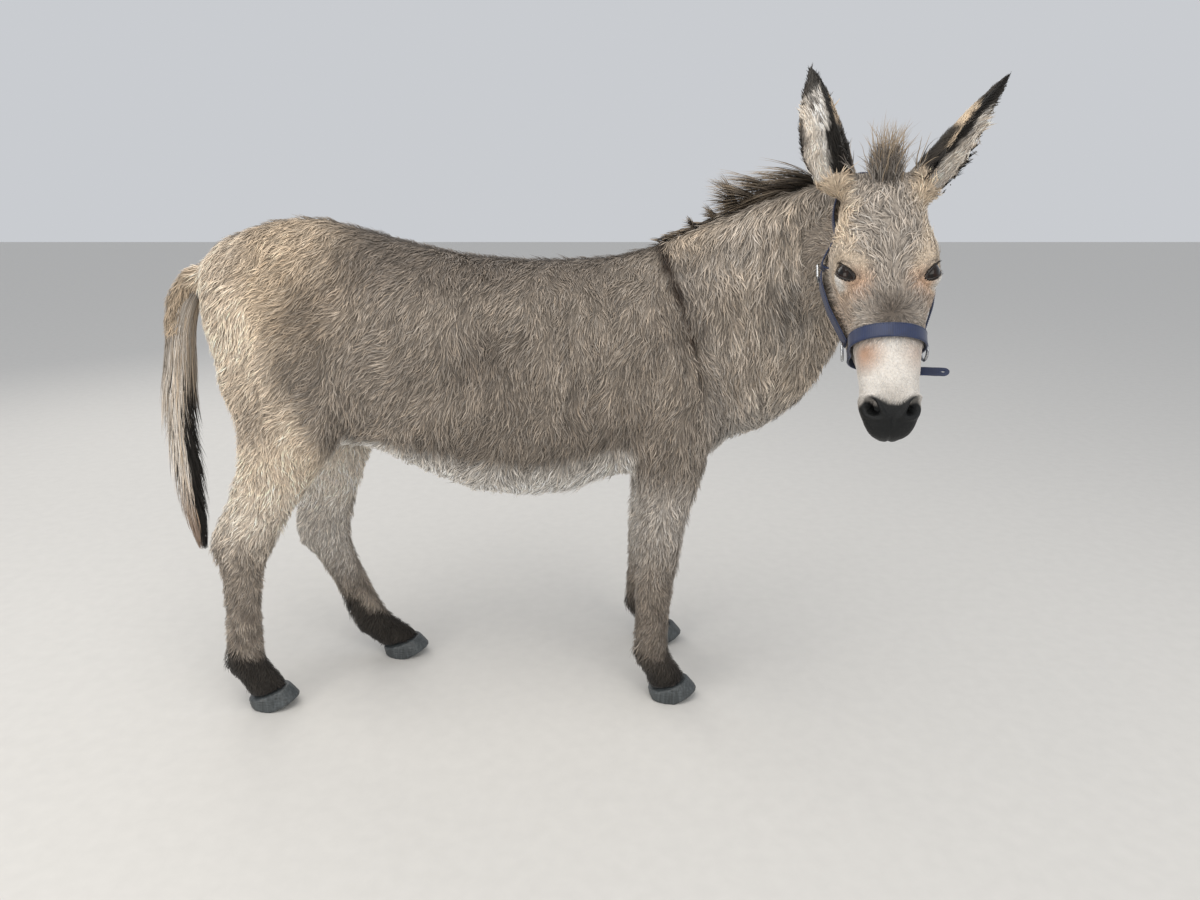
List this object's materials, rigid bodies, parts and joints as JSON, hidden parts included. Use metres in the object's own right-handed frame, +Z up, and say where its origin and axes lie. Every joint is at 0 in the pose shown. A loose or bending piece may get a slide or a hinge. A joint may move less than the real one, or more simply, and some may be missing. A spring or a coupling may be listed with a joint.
{
  "type": "donkey",
  "caption": "Standing grey-dun donkey with a shaggy coat, long ears, pale muzzle and a webbing headcollar, its head turned to the right.",
  "frame": {"origin": "on the floor, under the middle of the whole animal's bounding box", "axes": "+X the way the body faces, +Y the donkey's left, +Z up"},
  "size_m": [1.6278, 0.6644, 1.2851],
  "materials": {
    "coat": "matte",
    "hair": "matte",
    "horn": "satin",
    "eye": "gloss",
    "webbing": "matte",
    "metal": "gloss"
  },
  "bodies": {
    "root": {"buckle_left": "metal", "buckle_right": "metal", "cheek_ring_left": "metal", "cheek_ring_right": "metal", "cheek_strap_left": "webbing", "cheek_strap_right": "webbing", "chin_ring": "metal", "crown_strap": "webbing", "ear_left": "coat", "ear_right": "coat", "eye_left": "eye", "eye_right": "eye", "foreleg_left": "coat", "foreleg_right": "coat", "forelock": "hair", "head": "coat", "hindleg_left": "coat", "hindleg_right": "coat", "hoof_fore_left": "horn", "hoof_fore_right": "horn", "hoof_hind_left": "horn", "hoof_hind_right": "horn", "mane": "hair", "neck": "coat", "noseband": "webbing", "strap_end": "webbing", "tail_dock": "coat", "tail_switch": "hair", "trunk": "coat"}
  },
  "joints": []
}
